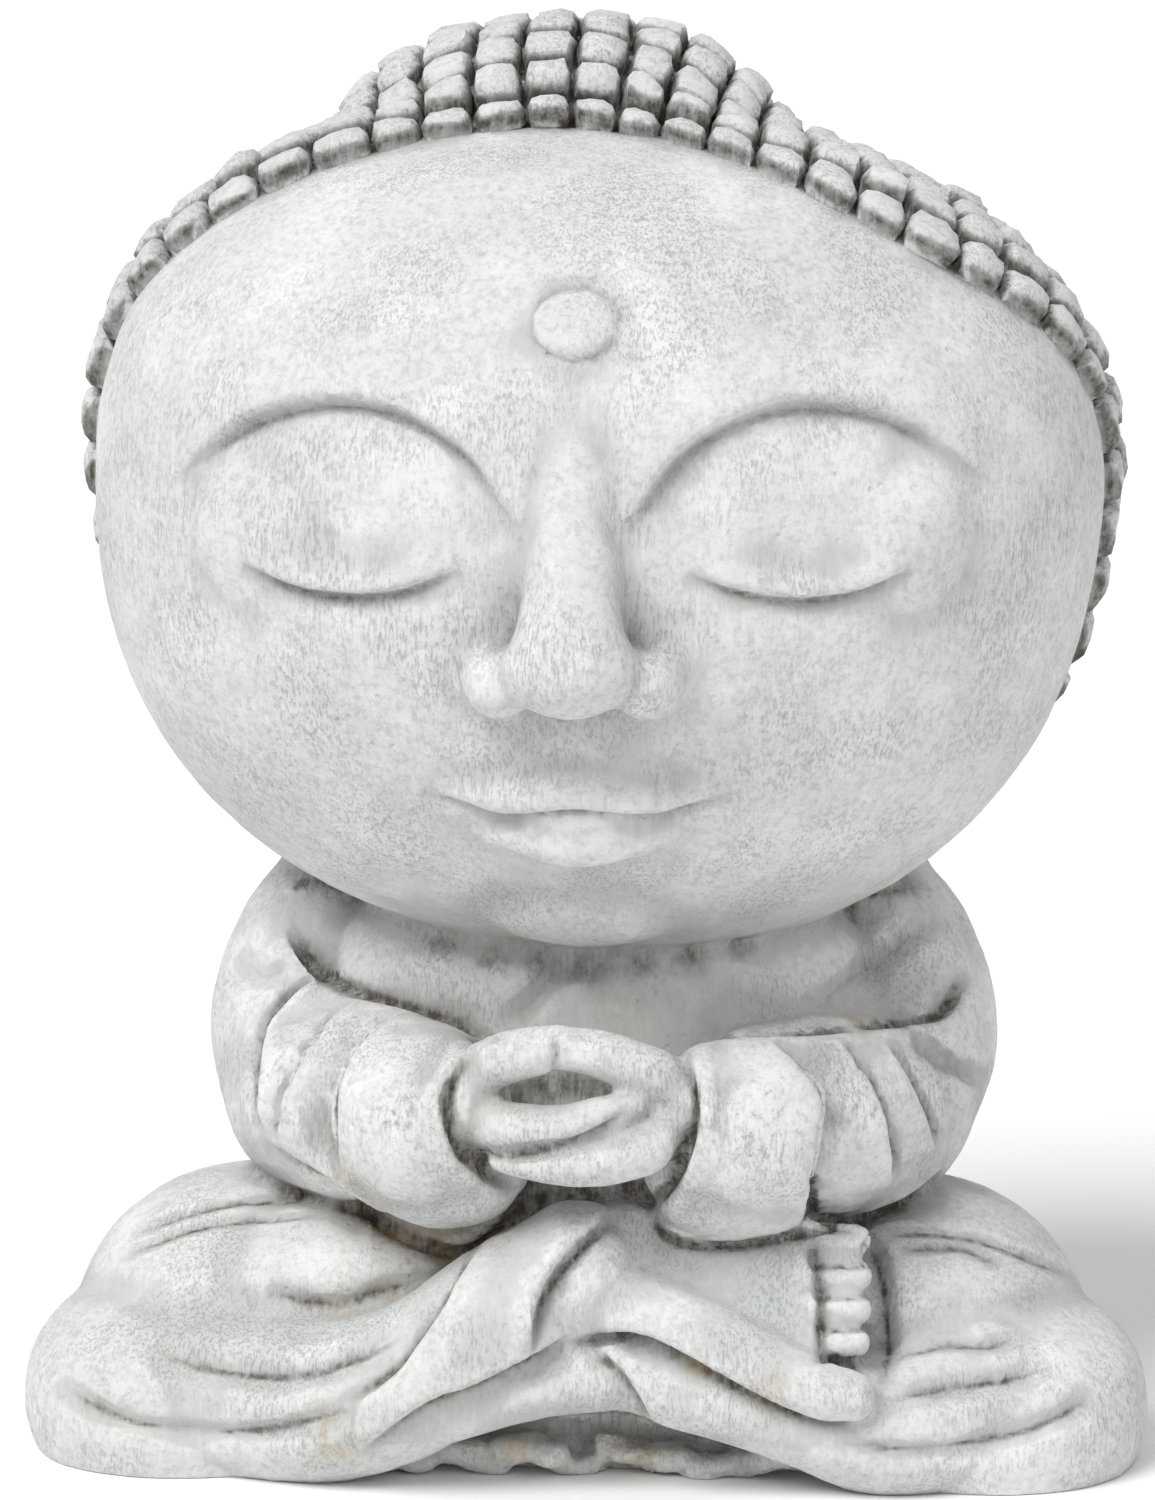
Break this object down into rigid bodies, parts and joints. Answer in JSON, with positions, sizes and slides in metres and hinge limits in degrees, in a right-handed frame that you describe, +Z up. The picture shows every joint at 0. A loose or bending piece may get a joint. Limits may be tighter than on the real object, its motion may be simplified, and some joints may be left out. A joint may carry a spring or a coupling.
{
  "type": "seated monk garden statue",
  "caption": "Cast stone figure of a seated monk with a large round head, studded curls, closed eyes, folded hands and crossed legs, standing on its flat underside.",
  "frame": {"origin": "on the ground plane, under the middle of the flat underside", "axes": "+Z up, -Y towards the viewer whom the figure faces, +X to the viewer's right"},
  "size_m": [0.3327, 0.2601, 0.4195],
  "materials": {
    "monk_statue": "rough cast, weathered, pale grey"
  },
  "bodies": {
    "root": {"monk_statue": "monk_statue"}
  },
  "joints": []
}
